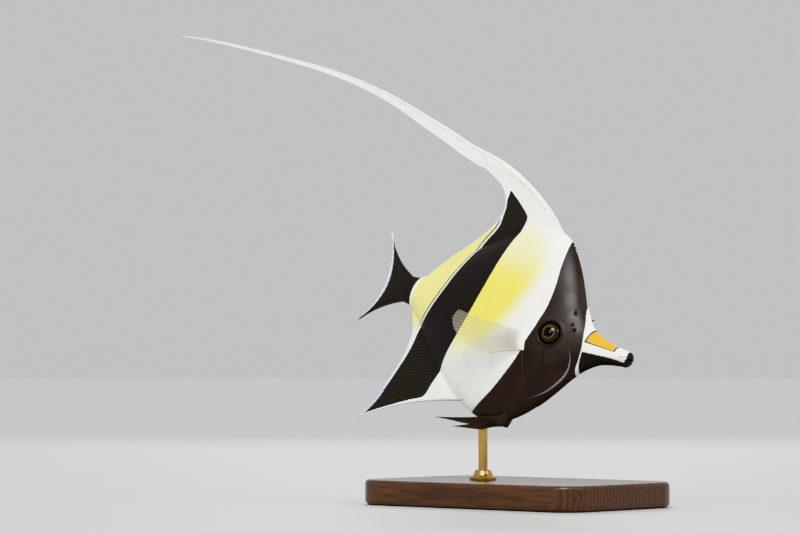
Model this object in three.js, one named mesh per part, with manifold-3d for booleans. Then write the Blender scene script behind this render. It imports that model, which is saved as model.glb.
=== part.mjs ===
// A life-size moorish idol, banking nose-down on a plain display stand. Millimetres, +Z up.
// The stand's base lies on the floor and its underside centre is the origin; the fish heads towards +X.
// The fish is shaped in its own frame first: +X to the snout, +Z to the back fin, +Y to its left side,
// with zero at the narrowest point of the tail stalk. One group then sets it on the stand.
import * as THREE from "three";
import { mergeVertices } from "three/addons/utils/BufferGeometryUtils.js";
import Module from "manifold-3d";

const wasm = await Module();
wasm.setup();

// Driving sizes
const gap = 0.3;
const snoutX = 143;
const tailEndX = -6;
const nosePitch = 14.35;
const bank = 19.7;
const fishOverBase = [-64, -4, 105];

// Outlines of the flesh in side view, as [x, z], from the tail stalk to the lips
const backLine = [
  [-6, 7.4], [0, 7.2], [6, 9.6], [15, 16], [25, 24.6], [36, 33.4], [48, 41.5], [60, 47.4], [70, 49.6],
  [80, 47.4], [88, 41.6], [96, 33], [102, 25], [107, 17.8], [112, 11.9], [117, 8.2], [123, 5.8],
  [130, 4.4], [137, 3.7], [141, 3], [143, 1.4],
];
const bellyLine = [
  [-6, -7.4], [0, -7.2], [6, -9.4], [15, -15.4], [25, -23.2], [36, -31.6], [48, -39.6], [60, -45.6],
  [72, -49], [82, -48.4], [90, -45.2], [97, -40], [104, -32.4], [110, -24.2], [115, -16.8], [120, -11.2],
  [126, -7.1], [132, -5.3], [138, -4.3], [141, -3.6], [143, -1.7],
];
const halfWidth = [
  [-6, 2], [0, 2.6], [10, 3.8], [25, 6.2], [45, 9], [65, 10.8], [82, 11.2], [94, 10.3], [103, 8.8],
  [110, 7], [117, 5.4], [125, 4.3], [133, 3.7], [139, 3.2], [141.8, 2.6], [143, 1.5],
];
const flankStations = 38;
const flankSides = 24;

// Parting lines
const gillLine = [[97, 50], [93, 30], [89, 14], [87.5, 0], [90, -14], [97, -28], [106, -42]];
const tailStalkX = 12;
const mouthCorner = [136.4, -1.2];
const jawRootX = 129;
const gillCoverStep = 0.5;

// Head
const eyeAt = [99, -1];
const eyeRadius = 5.6;
const eyeDepth = 3.2;
const eyeSunk = 1.2;
const nostrils = [[109.5, 4.2, 0.6], [107.4, 6.4, 0.45]];
const hornAt = [105.5, 12];
const hornLength = 4.2;

// Streamer, as [x, z, half height]
const streamerLine = [
  [4, 75.1, 3.4], [-6, 77.5, 3.2], [-36, 84.6, 3], [-68, 91.8, 2.3], [-100, 97.2, 1.7],
  [-130, 99.6, 1.25], [-162, 100, 0.95], [-195, 99.6, 0.75], [-222, 98.9, 0.55], [-242, 98, 0.35],
];
const streamerCutX = -5;

// Stand
const base = { length: 136, width: 84, thick: 12, corner: 14, bevel: 2 };
const rod = { radius: 2.2, inBelly: 9, inBase: 8, sides: 20 };
const rodAt = [66, 6.5, -42];
const collar = { radius: 6.5, height: 5 };

const skin = new THREE.MeshStandardMaterial({ color: 0xf3efc9, roughness: 0.45, metalness: 0 });
const black = new THREE.MeshStandardMaterial({ color: 0x1b1513, roughness: 0.5, metalness: 0 });
const clear = new THREE.MeshStandardMaterial({ color: 0xdcd6a4, roughness: 0.4, metalness: 0 });
const eyeBlack = new THREE.MeshStandardMaterial({ color: 0x14100d, roughness: 0.1, metalness: 0 });
const wood = new THREE.MeshStandardMaterial({ color: 0x3a2417, roughness: 0.4, metalness: 0 });
const brass = new THREE.MeshStandardMaterial({ color: 0xb58d3d, roughness: 0.3, metalness: 1 });

// A smooth line through [station, value] pairs in rising order, read at one station.
function along(pairs, station, column = 1) {
  const last = pairs.length - 1;
  const x = THREE.MathUtils.clamp(station, pairs[0][0], pairs[last][0]);
  let i = 0;
  while (i < last - 1 && x > pairs[i + 1][0]) i++;
  const slope = (k) => {
    const before = pairs[Math.max(k - 1, 0)];
    const after = pairs[Math.min(k + 1, last)];
    return (after[column] - before[column]) / (after[0] - before[0]);
  };
  const step = pairs[i + 1][0] - pairs[i][0];
  const t = (x - pairs[i][0]) / step;
  const rise = pairs[i + 1][column] - pairs[i][column];
  const ease = t * t * (3 - 2 * t);
  const bend = step * t * (1 - t) * (slope(i) * (1 - t) - slope(i + 1) * t);
  return pairs[i][column] + rise * ease + bend;
}

// Half width of the flesh at a point of the side view.
function flankAt(x, z) {
  const middle = midLine(x);
  const reach = z > middle ? along(backLine, x) - middle : middle - along(bellyLine, x);
  const share = Math.min(Math.abs(z - middle) / reach, 1);
  return along(halfWidth, x) * (1 - share * share) ** (edgePower(x) / 2);
}

function midLine(x) {
  return 0.25 * (along(backLine, x) + along(bellyLine, x));
}

// Over 1 the section comes to a slim edge above and below; the snout is a round tube.
function edgePower(x) {
  return 1.32 - 0.32 * THREE.MathUtils.smoothstep(x, 108, 132);
}

// Sideways set of the swimming fish: straight to the gills, then a slow curve down the tail.
function sway(x) {
  const past = THREE.MathUtils.clamp(40 - x, 0, 190);
  return 0.00093 * past ** 2 - 0.00000326 * past ** 3;
}

// A solid from a closed geometry, with its faces turned outwards.
function toSolid(geometry) {
  const bare = geometry.index ? geometry.clone() : geometry;
  for (const name of Object.keys(bare.attributes)) if (name !== "position") bare.deleteAttribute(name);
  const merged = mergeVertices(bare, 1e-4);
  const vertProperties = new Float32Array(merged.attributes.position.array);
  const triVerts = new Uint32Array(merged.index.array);
  const solid = new wasm.Manifold(new wasm.Mesh({ numProp: 3, vertProperties, triVerts }));
  if (solid.volume() > 0) return solid;
  return new wasm.Manifold(
    new wasm.Mesh({ numProp: 3, vertProperties, triVerts: triVerts.reverse() }),
  );
}

// The largest closed piece of a solid.
function mainPiece(solid) {
  return solid.decompose().reduce((a, b) => (b.volume() > a.volume() ? b : a));
}

function toMesh(name, solid, material, swayed = true) {
  const { vertProperties, triVerts, numProp } = mainPiece(solid).getMesh();
  const place = new Float32Array((vertProperties.length / numProp) * 3);
  for (let i = 0; i < place.length / 3; i++) {
    const [x, y, z] = vertProperties.subarray(i * numProp, i * numProp + 3);
    place.set([x, swayed ? y + sway(x) : y, z], i * 3);
  }
  const geometry = new THREE.BufferGeometry()
    .setAttribute("position", new THREE.BufferAttribute(place, 3))
    .setIndex(new THREE.BufferAttribute(new Uint32Array(triVerts), 1));
  geometry.computeVertexNormals();
  const mesh = new THREE.Mesh(geometry, material);
  mesh.name = name;
  return mesh;
}

// A closed skin over rings of points, with one point closing each end.
function ringSkin(rings, firstPoint, lastPoint) {
  const sides = rings[0].length;
  const points = [firstPoint, ...rings.flat(), lastPoint];
  const faces = [];
  const at = (ring, side) => 1 + ring * sides + (side % sides);
  for (let s = 0; s < sides; s++) {
    faces.push(0, at(0, s + 1), at(0, s));
    faces.push(points.length - 1, at(rings.length - 1, s), at(rings.length - 1, s + 1));
    for (let r = 0; r < rings.length - 1; r++) {
      faces.push(at(r, s), at(r + 1, s + 1), at(r + 1, s));
      faces.push(at(r, s), at(r, s + 1), at(r + 1, s + 1));
    }
  }
  const geometry = new THREE.BufferGeometry();
  geometry.setAttribute("position", new THREE.Float32BufferAttribute(points.flat(), 3));
  geometry.setIndex(faces);
  return geometry;
}

// Flesh of the whole fish from tail stalk to lips; grow moves its surface out, cover lifts the gill cover.
function flesh(grow = 0, cover = 0) {
  const rings = [];
  for (let i = 0; i < flankStations; i++) {
    const share = i / (flankStations - 1);
    const x = tailEndX + (snoutX - tailEndX) * (1 - (1 - share) ** 1.25);
    const top = along(backLine, x);
    const bottom = along(bellyLine, x);
    const middle = midLine(x);
    const ring = [];
    for (let s = 0; s < flankSides; s++) {
      const turn = (2 * Math.PI * s) / flankSides;
      const up = Math.sin(turn);
      const out = Math.cos(turn);
      const z = middle + up * (up > 0 ? top - middle : middle - bottom);
      const lift = cover * gillCoverLift(x, z);
      const wide = along(halfWidth, x) + lift;
      ring.push([x, Math.sign(out) * wide * Math.abs(out) ** edgePower(x), z]);
    }
    rings.push(ring);
  }
  const skinned = ringSkin(
    rings,
    [tailEndX - 0.8, 0, midLine(tailEndX)],
    [snoutX + 0.5, 0, midLine(snoutX)],
  );
  if (!grow) return skinned;
  skinned.computeVertexNormals();
  const { position, normal } = skinned.attributes;
  for (let i = 0; i < position.count; i++) {
    position.setXYZ(
      i,
      position.getX(i) + grow * normal.getX(i),
      position.getY(i) + grow * normal.getY(i),
      position.getZ(i) + grow * normal.getZ(i),
    );
  }
  return skinned;
}

// The gill cover stands proud towards its rear edge and below the eye.
function gillCoverLift(x, z) {
  const forward = 1 - THREE.MathUtils.smoothstep(x, 88, 101);
  const heightShare = Math.max(0, 1 - (z / 30) ** 2);
  return forward * heightShare;
}

// A block through the whole fish with a side-view outline.
function sideBlock(outline, depth = 60) {
  const shape = new THREE.Shape(outline.map(([x, z]) => new THREE.Vector2(x, z)));
  const block = new THREE.ExtrudeGeometry(shape, { depth, bevelEnabled: false });
  block.translate(0, 0, -depth / 2);
  block.rotateX(Math.PI / 2);
  return toSolid(block);
}

// Everything ahead of the gill line, moved back by the given amount.
function aheadOfGills(back) {
  const line = new THREE.SplineCurve(gillLine.map(([x, z]) => new THREE.Vector2(x - back, z)));
  const edge = line.getPoints(14).map((p) => [p.x, p.y]);
  return sideBlock([...edge, [170, -42], [170, 50]].reverse());
}

function behindTailStalk(ahead) {
  const bowed = [-20, -10, 0, 10, 20].map((z) => [tailStalkX + ahead - 0.006 * z * z, z]);
  return sideBlock([...bowed, [-30, 20], [-30, -20]]);
}

function jawBlock(clear) {
  const [cornerX, cornerZ] = mouthCorner;
  return sideBlock([
    [150, -0.35 - clear], [cornerX, cornerZ - clear], [jawRootX + clear, -3.2 - clear],
    [jawRootX + clear, -12], [150, -12],
  ].reverse());
}

function egg(radii, at, grow = 0, around = 20, down = 14) {
  const ball = new THREE.SphereGeometry(1, around, down);
  ball.rotateX(Math.PI / 2);
  ball.scale(...radii.map((r) => r + grow));
  ball.translate(...at);
  return toSolid(ball);
}

// Lips: one ring round the mouth, parted by the mouth slit.
function lips() {
  const ring = new THREE.TorusGeometry(2.3, 0.85, 6, 16);
  ring.rotateY(Math.PI / 2);
  ring.scale(1.15, 0.92, 1.06);
  ring.translate(141.4, 0, -0.1);
  return toSolid(ring);
}

// The raised rim that fish have in place of lids, leaning with the cheek.
function eyeRim(side) {
  const ring = new THREE.TorusGeometry(eyeRadius + 0.15, 0.75, 6, 20);
  ring.rotateX(Math.PI / 2);
  ring.rotateZ(side * cheekLean());
  ring.translate(eyeAt[0], side * (flankAt(...eyeAt) + gillShelf() - 0.1), eyeAt[1]);
  return toSolid(ring);
}

function cheekLean() {
  const [x, z] = eyeAt;
  return Math.atan((flankAt(x + 5, z) - flankAt(x - 5, z)) / 10);
}

function gillShelf() {
  return gillCoverStep * gillCoverLift(...eyeAt);
}

function eye(side, grow = 0) {
  const y = side * (flankAt(...eyeAt) + gillShelf() - eyeSunk);
  const ball = new THREE.SphereGeometry(1, 18, 10);
  ball.rotateX(Math.PI / 2);
  ball.scale(eyeRadius - 0.5 + grow, eyeDepth + grow, eyeRadius - 0.5 + grow);
  ball.rotateZ(side * cheekLean());
  ball.translate(eyeAt[0], y, eyeAt[1]);
  return toSolid(ball);
}

function nostril(side, [x, z, radius]) {
  const hole = new THREE.CylinderGeometry(radius, radius, 3, 8);
  hole.translate(x, side * (flankAt(x, z) + 0.4), z);
  return toSolid(hole);
}

// A small bony point over the front of each eye.
function horn(side) {
  const cone = new THREE.ConeGeometry(1.5, hornLength + 2, 9, 3);
  cone.translate(0, hornLength / 2 - 1, 0);
  cone.rotateX(side * 0.95);
  cone.rotateY(0.5);
  cone.translate(hornAt[0], side * flankAt(...hornAt), hornAt[1]);
  return toSolid(cone);
}

// A fin in side view: rays fan from root to tip and stand up as ridges on the membrane.
// root, tip and bow read a share from 0 at the leading ray to 1 at the last.
function fin({ rays, rows, root, tip, bow, rootHalf, edgeHalf, ridge, ripple = () => 0 }) {
  const columns = 2 * rays - 1;
  const points = [];
  for (const face of [1, -1]) {
    for (let c = 0; c < columns; c++) {
      const share = c / (columns - 1);
      const [rx, rz] = root(share);
      const [tx, tz] = tip(share);
      const length = Math.hypot(tx - rx, tz - rz);
      const across = [-(tz - rz) / length, (tx - rx) / length];
      for (let r = 0; r <= rows; r++) {
        const out = r / rows;
        const arch = bow(share) * 4 * out * (1 - out);
        const thin = rootHalf + (edgeHalf - rootHalf) * out ** 0.55;
        const raised = c % 2 ? 0 : ridge * (1 - 0.75 * out);
        points.push([
          rx + (tx - rx) * out + across[0] * arch,
          face * (thin + raised) + ripple(share, out),
          rz + (tz - rz) * out + across[1] * arch,
        ]);
      }
    }
  }
  const at = (face, c, r) => face * columns * (rows + 1) + c * (rows + 1) + r;
  const faces = [];
  const quad = (a, b, c, d) => faces.push(a, b, c, a, c, d);
  for (let c = 0; c < columns - 1; c++) {
    for (let r = 0; r < rows; r++) {
      quad(at(0, c, r), at(0, c, r + 1), at(0, c + 1, r + 1), at(0, c + 1, r));
      const [p, q, s, t] = [at(1, c, r), at(1, c, r + 1), at(1, c + 1, r + 1), at(1, c + 1, r)];
      faces.push(p, s, q, p, t, s);
    }
    quad(at(0, c, rows), at(1, c, rows), at(1, c + 1, rows), at(0, c + 1, rows));
    quad(at(0, c + 1, 0), at(1, c + 1, 0), at(1, c, 0), at(0, c, 0));
  }
  for (let r = 0; r < rows; r++) {
    quad(at(0, 0, r), at(1, 0, r), at(1, 0, r + 1), at(0, 0, r + 1));
    const c = columns - 1;
    quad(at(0, c, r + 1), at(1, c, r + 1), at(1, c, r), at(0, c, r));
  }
  const geometry = new THREE.BufferGeometry();
  geometry.setAttribute("position", new THREE.Float32BufferAttribute(points.flat(), 3));
  geometry.setIndex(faces);
  return geometry;
}

// Reads a fan of rays, [share, root x, tip x, tip z], at any share.
function fanTip(fan) {
  return (share) => [along(fan, share, 2), along(fan, share, 3)];
}

// Back fin, from the long third spine to the last soft ray, as [share, root x, tip x, tip z]
const backFan = [
  [0, 83.5, -12, 80], [0.09, 78, 6, 71.8], [0.18, 71.5, 18, 67.2], [0.28, 66, 26.5, 63.2],
  [0.38, 59.5, 32, 58], [0.49, 52, 34.8, 51.2], [0.6, 44, 33, 44.2], [0.71, 35.5, 28.6, 37.4],
  [0.81, 27, 21.8, 29.6], [0.91, 18, 13.6, 21], [1, 9.5, 5.4, 10.4],
];
const bellyFan = [
  [0, 62, -1, -69.2], [0.1, 57, 3.4, -62.5], [0.2, 51.5, 6.6, -55.6], [0.32, 45, 8, -47.6],
  [0.44, 38, 10.2, -39.2], [0.56, 31, 11.2, -31.6], [0.68, 24.5, 11, -25], [0.8, 18, 10.6, -19.4],
  [0.9, 12.5, 8.4, -14.8], [1, 8.5, 5.7, -10],
];
const rootSunk = 3;

function dorsalFin() {
  const blade = fin({
    rays: 22, rows: 8,
    root: (share) => {
      const x = along(backFan, share, 1);
      return [x, along(backLine, x) - rootSunk];
    },
    tip: fanTip(backFan),
    bow: (share) => -8.6 * (1 - share) ** 2,
    rootHalf: 1.25, edgeHalf: 0.32, ridge: 0.3,
    ripple: (share, out) => 0.7 * out * Math.sin(9 * share) * share,
  });
  return toSolid(blade);
}

// Two short spines lie against the front of the long one.
const spineSunk = 1.2;
const spineRoot = 1.5;
function leadingSpine(rootX, length, lean) {
  const spine = new THREE.ConeGeometry(1.1, length + spineRoot, 8, 3);
  spine.translate(0, (length - spineRoot) / 2, 0);
  spine.rotateX(Math.PI / 2);
  spine.rotateY(-lean);
  spine.translate(rootX, 0, along(backLine, rootX) - spineSunk);
  return toSolid(spine);
}

function analFin() {
  const blade = fin({
    rays: 22, rows: 8,
    root: (share) => {
      const x = along(bellyFan, share, 1);
      return [x, along(bellyLine, x) + rootSunk];
    },
    tip: fanTip(bellyFan),
    bow: (share) => -3.4 * (1 - share) ** 2,
    rootHalf: 1.25, edgeHalf: 0.32, ridge: 0.3,
    ripple: (share, out) => -0.6 * out * Math.sin(8 * share) * share,
  });
  return toSolid(blade);
}

function caudalFin() {
  const fan = (share) => 2 * share - 1;
  const blade = fin({
    rays: 15, rows: 8,
    root: (share) => [-3.2, 6.6 * fan(share)],
    tip: (share) => {
      const side = fan(share);
      return [-19.5 - 12 * Math.abs(side) ** 1.9, 25.6 * side];
    },
    bow: (share) => 2.6 * fan(share),
    rootHalf: 1.15, edgeHalf: 0.3, ridge: 0.3,
    ripple: (share, out) => 0.8 * out * Math.cos(5 * share),
  });
  return toSolid(blade);
}

// Streamer: the long spine's free end, thick on its leading edge, drawn out to a hair.
function streamer() {
  const path = streamerLine.map(([x, z, half]) => [-x, z, half]);
  const stations = 30;
  const rings = [];
  for (let i = 0; i < stations; i++) {
    const x = path[0][0] + ((path[path.length - 1][0] - path[0][0]) * i) / (stations - 1);
    const z = along(path, x, 1);
    const half = along(path, x, 2);
    const thick = 0.34 + 0.75 * (half / 4.4) ** 1.5;
    const section = [[0, 1], [1, 0.72], [0.85, 0.3], [0.45, -0.5], [0, -1]];
    const mirrored = section.slice(1, -1).reverse().map(([y, up]) => [-y, up]);
    const ring = [...section, ...mirrored].map(([y, up]) => [-x, y * thick, z + up * half]);
    rings.push(ring);
  }
  const [headX, headZ] = streamerLine[0];
  const [endX, endZ] = streamerLine[streamerLine.length - 1];
  return toSolid(ringSkin(rings, [headX + 0.5, 0, headZ], [endX - 1.5, 0, endZ]));
}

// A paired fin shaped flat in its own frame, leading ray up, then set on the flank.
function pairedFin({ rays, rows, fan, rootLength, thickness, ridge, cup }) {
  return fin({
    rays, rows,
    root: (share) => [2.5, rootLength * (0.5 - share)],
    tip: fanTip(fan),
    bow: (share) => 1.2 * (0.5 - share),
    rootHalf: thickness, edgeHalf: 0.28, ridge,
    ripple: (share, out) => cup * out * out,
  });
}

const pectoralFan = [
  [0, 0, -33, 7.5], [0.15, 0, -34.5, 3], [0.35, 0, -32, -2.5], [0.6, 0, -26, -7.2], [0.8, 0, -19, -9.4],
  [1, 0, -11.5, -9.6],
];
const pectoralAt = [85.5, -9];
const pelvicFan = [
  [0, 0, -34, -1], [0.3, 0, -27.5, -1.6], [0.6, 0, -20, -2.6], [1, 0, -12, -3.4],
];
const pelvicAt = [85, -47.2];

function pectoralFin(side) {
  const blade = pairedFin({
    rays: 13, rows: 7, fan: pectoralFan, rootLength: 9, thickness: 0.75, ridge: 0.22, cup: 2.5,
  });
  if (side < 0) blade.scale(1, -1, 1);
  blade.rotateZ(-side * 0.42);
  blade.rotateY(-0.16);
  blade.translate(pectoralAt[0], side * flankAt(...pectoralAt), pectoralAt[1]);
  return toSolid(blade);
}

function pelvicFin(side) {
  const blade = pairedFin({
    rays: 6, rows: 7, fan: pelvicFan, rootLength: 4.4, thickness: 0.85, ridge: 0.3, cup: 1.2,
  });
  if (side < 0) blade.scale(1, -1, 1);
  blade.rotateX(-side * 0.5);
  blade.rotateZ(-side * 0.12);
  blade.rotateY(-0.24);
  blade.translate(pelvicAt[0], side * 2.6, pelvicAt[1]);
  return toSolid(blade);
}

// Where the fish hangs over the base
const fish = new THREE.Group();
fish.rotation.order = "YXZ";
fish.rotation.set(
  THREE.MathUtils.degToRad(-bank),
  THREE.MathUtils.degToRad(nosePitch),
  0,
);
fish.position.set(...fishOverBase);
fish.updateMatrix();

const rodFoot = new THREE.Vector3(...rodAt).applyMatrix4(fish.matrix);

function rodShape(radius, low, high) {
  const shape = new THREE.CylinderGeometry(radius, radius, high - low, rod.sides);
  shape.rotateX(Math.PI / 2);
  shape.translate(rodFoot.x, rodFoot.y, (low + high) / 2);
  return shape;
}

function standBase() {
  const x = base.length / 2 - base.bevel;
  const y = base.width / 2 - base.bevel;
  const outline = new THREE.Shape();
  outline.moveTo(-x + base.corner, -y);
  outline.lineTo(x - base.corner, -y);
  outline.absarc(x - base.corner, -y + base.corner, base.corner, -Math.PI / 2, 0);
  outline.absarc(x - base.corner, y - base.corner, base.corner, 0, Math.PI / 2);
  outline.absarc(-x + base.corner, y - base.corner, base.corner, Math.PI / 2, Math.PI);
  outline.absarc(-x + base.corner, -y + base.corner, base.corner, Math.PI, 1.5 * Math.PI);
  const slab = new THREE.ExtrudeGeometry(outline, {
    depth: base.thick - 2 * base.bevel,
    bevelThickness: base.bevel,
    bevelSize: base.bevel,
    bevelSegments: 2,
    curveSegments: 5,
  });
  slab.translate(0, 0, base.bevel);
  const hole = rodShape(rod.radius + gap, base.thick - rod.inBase, base.thick + 5);
  return toSolid(slab).subtract(toSolid(hole));
}

function standCollar() {
  const inner = rod.radius + gap;
  const low = base.thick + gap;
  const outline = [
    [inner, 0], [collar.radius, 0], [collar.radius, 1.4], [collar.radius - 1.6, 2.4],
    [inner + 1.2, collar.height], [inner, collar.height], [inner, 0],
  ].map(([r, z]) => new THREE.Vector2(r, z));
  const ring = new THREE.LatheGeometry(outline, 24);
  ring.rotateX(Math.PI / 2);
  ring.translate(rodFoot.x, rodFoot.y, low);
  return toSolid(ring);
}

// Solids of the flesh, parted along the gills, the tail stalk and the mouth
const plain = toSolid(flesh());
const plainGrown = toSolid(flesh(gap));
const covered = toSolid(flesh(0, gillCoverStep)).add(lips()).add(eyeRim(1)).add(eyeRim(-1));
const coveredGrown = toSolid(flesh(gap, gillCoverStep));

const sockets = [1, -1].map((side) => eye(side, gap));
const nostrilHoles = [1, -1].flatMap((side) => nostrils.map((hole) => nostril(side, hole)));
const rodHole = toSolid(
  rodShape(rod.radius + gap, 0, rodFoot.z + rod.inBelly + gap).applyMatrix4(fish.matrix.clone().invert()),
);

let headSolid = covered.intersect(aheadOfGills(0)).subtract(jawBlock(0));
for (const cut of [...sockets, ...nostrilHoles]) headSolid = headSolid.subtract(cut);
const jawSolid = covered.intersect(jawBlock(gap));
const trunkSolid = plain
  .subtract(aheadOfGills(gap))
  .subtract(behindTailStalk(0))
  .subtract(rodHole);
const stalkSolid = plain.intersect(behindTailStalk(-gap));

const streamerBlock = sideBlock([[streamerCutX, 60], [-260, 60], [-260, 120], [streamerCutX, 120]]);
const streamerClear = sideBlock([
  [streamerCutX + gap, 60], [-260, 60], [-260, 120], [streamerCutX + gap, 120],
]);
const dorsalSolid = dorsalFin()
  .add(leadingSpine(86, 5, 0.95))
  .add(leadingSpine(84.5, 9, 0.98))
  .subtract(streamerClear)
  .subtract(plainGrown);

fish.add(
  toMesh("head", headSolid, black),
  toMesh("lower_jaw", jawSolid, black),
  toMesh("trunk", trunkSolid, skin),
  toMesh("tail_stalk", stalkSolid, skin),
  toMesh("dorsal_fin", dorsalSolid, skin),
  toMesh("dorsal_streamer", streamer().intersect(streamerBlock), skin),
  toMesh("anal_fin", analFin().subtract(plainGrown), black),
  toMesh("caudal_fin", caudalFin().subtract(plainGrown), black),
);
for (const [side, letter] of [[1, "l"], [-1, "r"]]) {
  fish.add(
    toMesh("eye_" + letter, eye(side), eyeBlack),
    toMesh("horn_" + letter, horn(side).subtract(coveredGrown), black),
    toMesh("pectoral_fin_" + letter, pectoralFin(side).subtract(coveredGrown), clear),
    toMesh("pelvic_fin_" + letter, pelvicFin(side).subtract(plainGrown), black),
  );
}

const model = new THREE.Group();
model.add(
  fish,
  toMesh("stand_base", standBase(), wood, false),
  toMesh("stand_collar", standCollar(), brass, false),
  toMesh(
    "stand_rod",
    toSolid(rodShape(rod.radius, base.thick - rod.inBase + gap, rodFoot.z + rod.inBelly)),
    brass,
    false,
  ),
);

export default model;
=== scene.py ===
import bpy, bmesh, math
import numpy as np
from mathutils import Matrix, Vector


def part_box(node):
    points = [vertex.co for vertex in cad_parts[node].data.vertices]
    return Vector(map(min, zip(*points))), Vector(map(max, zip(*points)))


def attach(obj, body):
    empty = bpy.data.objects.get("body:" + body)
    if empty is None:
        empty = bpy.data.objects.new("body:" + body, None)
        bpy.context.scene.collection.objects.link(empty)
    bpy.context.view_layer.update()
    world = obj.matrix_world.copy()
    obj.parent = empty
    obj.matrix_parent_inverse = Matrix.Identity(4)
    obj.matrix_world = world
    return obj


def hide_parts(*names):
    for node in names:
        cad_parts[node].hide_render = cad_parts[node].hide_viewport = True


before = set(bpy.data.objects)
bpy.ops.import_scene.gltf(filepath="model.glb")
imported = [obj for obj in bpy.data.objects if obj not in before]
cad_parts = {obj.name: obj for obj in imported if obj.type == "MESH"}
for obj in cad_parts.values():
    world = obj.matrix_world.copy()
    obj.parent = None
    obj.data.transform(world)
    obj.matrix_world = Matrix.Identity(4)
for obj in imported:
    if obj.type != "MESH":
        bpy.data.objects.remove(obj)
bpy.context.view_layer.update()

# low before the fish's right side, with its nose towards the camera
cameraSetup = {
    "place": (0.9471, -1.1113, 0.0657),
    "aim": (-0.0684, -0.008, 0.1165),
    "lens": 136.0,
    "filmWidth": 36.0,
    "farthest": 20,
}
bpy.ops.object.camera_add(location=cameraSetup["place"])
camera = bpy.context.object
camera.name = "camera"
towards = Vector(cameraSetup["aim"]) - camera.location
camera.rotation_euler = towards.to_track_quat("-Z", "Y").to_euler()
camera.data.lens = cameraSetup["lens"]
camera.data.sensor_width = cameraSetup["filmWidth"]
camera.data.clip_end = cameraSetup["farthest"]
bpy.context.scene.camera = camera

# the fish is shaped in millimetres in its own frame: x to the snout, z to the back, y to its left,
# zero at the thinnest point of the tail stalk, and then set on the stand
fishPose = {"nosePitch": 14.35, "bank": 19.7, "overBase": (-64, -4, 105)}
tailSway = {"from": 40, "reach": 190, "square": 0.00093, "cube": -0.00000326}
turn = (Matrix.Rotation(math.radians(fishPose["nosePitch"]), 3, "Y")
        @ Matrix.Rotation(math.radians(-fishPose["bank"]), 3, "X"))
turnArray = np.array(turn)
overBase = np.array(fishPose["overBase"], float)
sides = ((1, "l"), (-1, "r"))


def toWorld(points):
    return (points @ turnArray.T + overBase) / 1000


def toFish(points):
    return (points * 1000 - overBase) @ turnArray


def sway(x):  # the tail end's slow curve to the left
    past = np.clip(tailSway["from"] - x, 0, tailSway["reach"])
    return tailSway["square"] * past**2 + tailSway["cube"] * past**3


def turned(points, axis, angle):
    return points @ np.array(Matrix.Rotation(angle, 3, axis)).T


def ramp(x, low, high):
    t = np.clip((x - low) / (high - low), 0, 1)
    return t * t * (3 - 2 * t)


def between(x, rises, falls):  # 1 between the two ranges, and 0 outside of them
    return ramp(x, *rises) * (1 - ramp(x, *falls))


def swell(x, height, place, width):  # a soft ridge, or a groove where the height is negative
    return height * np.exp(-(((x - place) / width) ** 2))


def along(pairs, x, column=1):  # a smooth line through the pairs, in rising order
    table = np.array(pairs, float)
    xs, ys = table[:, 0], table[:, column]
    last = len(xs) - 1
    before = np.maximum(np.arange(last + 1) - 1, 0)
    after = np.minimum(np.arange(last + 1) + 1, last)
    slopes = (ys[after] - ys[before]) / (xs[after] - xs[before])
    x = np.clip(x, xs[0], xs[-1])
    i = np.clip(np.searchsorted(xs, x, side="right") - 1, 0, last - 1)
    step = xs[i + 1] - xs[i]
    t = (x - xs[i]) / step
    bend = step * t * (1 - t) * (slopes[i] * (1 - t) - slopes[i + 1] * t)
    return ys[i] + (ys[i + 1] - ys[i]) * t * t * (3 - 2 * t) + bend


def selectOnly(piece):
    bpy.ops.object.select_all(action="DESELECT")
    piece.select_set(True)
    bpy.context.view_layer.objects.active = piece


def addPiece(name, add, **values):
    add(**values)
    piece = bpy.context.object
    piece.name = name
    piece.data.name = name
    return piece


def readPoints(piece):
    points = np.empty(len(piece.data.vertices) * 3)
    piece.data.vertices.foreach_get("co", points)
    return points.reshape(-1, 3)


def writePoints(piece, points):
    piece.data.vertices.foreach_set("co", np.ascontiguousarray(points, np.float32).ravel())
    piece.data.update()


def readNormals(piece):
    normals = np.empty(len(piece.data.vertices) * 3, np.float32)
    piece.data.vertex_normals.foreach_get("vector", normals)
    return normals.reshape(-1, 3).astype(float)


def keepNumber(piece, name, values):  # one number for each point, which the paint reads
    kept = piece.data.attributes.new(name, "FLOAT", "POINT")
    kept.data.foreach_set("value", np.ascontiguousarray(values, np.float32))


def subdivideAll(cuts):
    bpy.ops.object.mode_set(mode="EDIT")
    bpy.ops.mesh.select_all(action="SELECT")
    bpy.ops.mesh.subdivide(number_cuts=cuts)
    bpy.ops.object.mode_set(mode="OBJECT")


def settle(piece):  # its place goes into its mesh
    selectOnly(piece)
    bpy.ops.object.transform_apply(location=True, rotation=True, scale=True)


def sealAndSmooth(piece, angle=None):  # no double points, and every face looks outward
    selectOnly(piece)
    bpy.ops.object.mode_set(mode="EDIT")
    bpy.ops.mesh.select_all(action="SELECT")
    bpy.ops.mesh.remove_doubles(threshold=1e-6)
    bpy.ops.mesh.normals_make_consistent(inside=False)
    bpy.ops.object.mode_set(mode="OBJECT")
    smoothShade(piece, angle)


def smoothShade(piece, angle=None):
    selectOnly(piece)
    if angle is None:
        bpy.ops.object.shade_smooth()
    else:
        bpy.ops.object.shade_smooth_by_angle(angle=math.radians(angle))


def addSheet(name, columns, rows):  # a flat sheet, and the shares of the way along its two sides
    sheet = addPiece(
        name, bpy.ops.mesh.primitive_grid_add,
        x_subdivisions=columns, y_subdivisions=rows, size=2, calc_uvs=True)
    flat = readPoints(sheet)
    return sheet, (flat[:, 0] + 1) / 2, (flat[:, 1] + 1) / 2


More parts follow.
